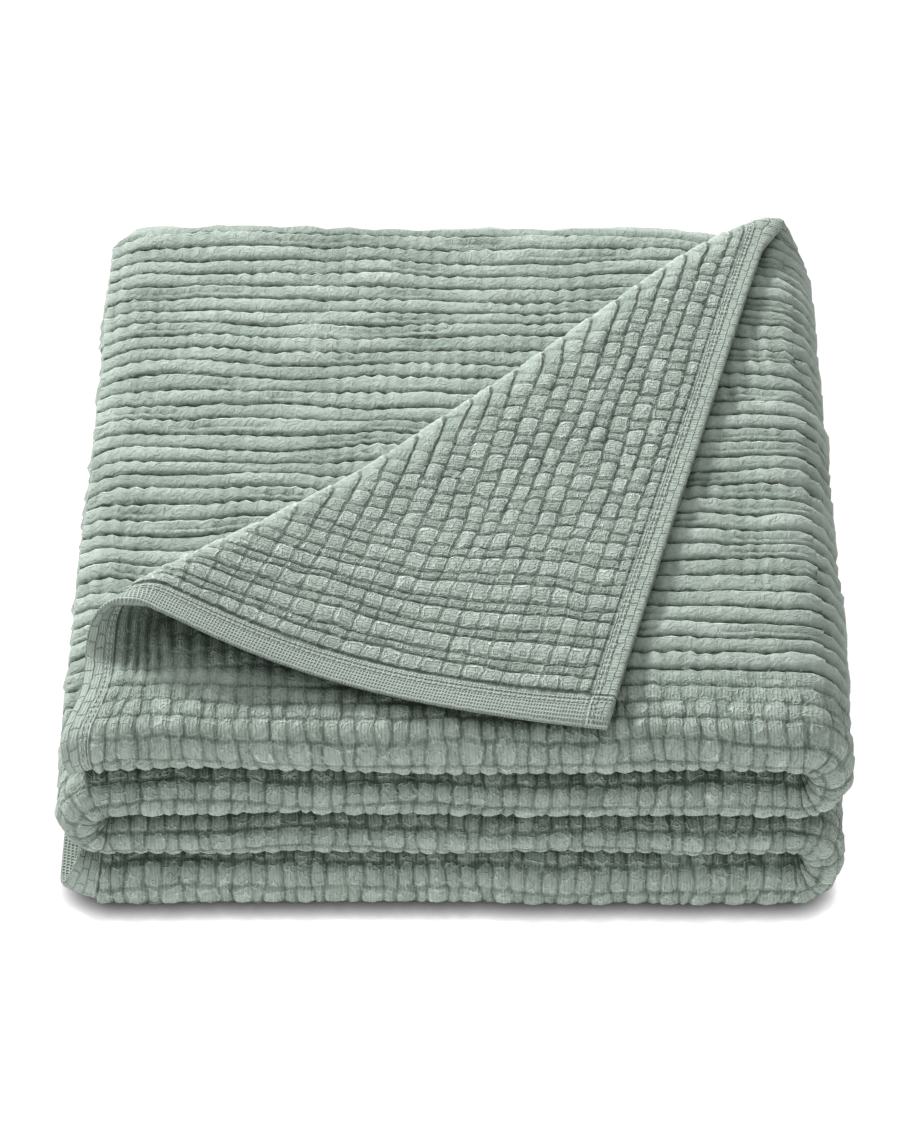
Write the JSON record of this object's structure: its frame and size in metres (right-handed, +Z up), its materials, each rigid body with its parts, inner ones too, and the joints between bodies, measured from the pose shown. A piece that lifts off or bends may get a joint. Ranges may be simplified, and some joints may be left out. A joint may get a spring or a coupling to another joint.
{
  "type": "cotton gauze throw",
  "caption": "Crinkled cotton gauze throw folded into a thick square stack, with one top corner of its cloth turned over.",
  "frame": {"origin": "under the middle of the folded stack, on the surface it rests on", "axes": "+Z up through the stack, -Y towards the folded front that shows the layers, +X towards the side that the folds wrap round"},
  "size_m": [0.4586, 0.464, 0.186],
  "materials": {
    "gauze_cotton": "matte crinkled gauze, sage green"
  },
  "bodies": {
    "root": {"throw_cloth": "gauze_cotton"}
  },
  "joints": []
}
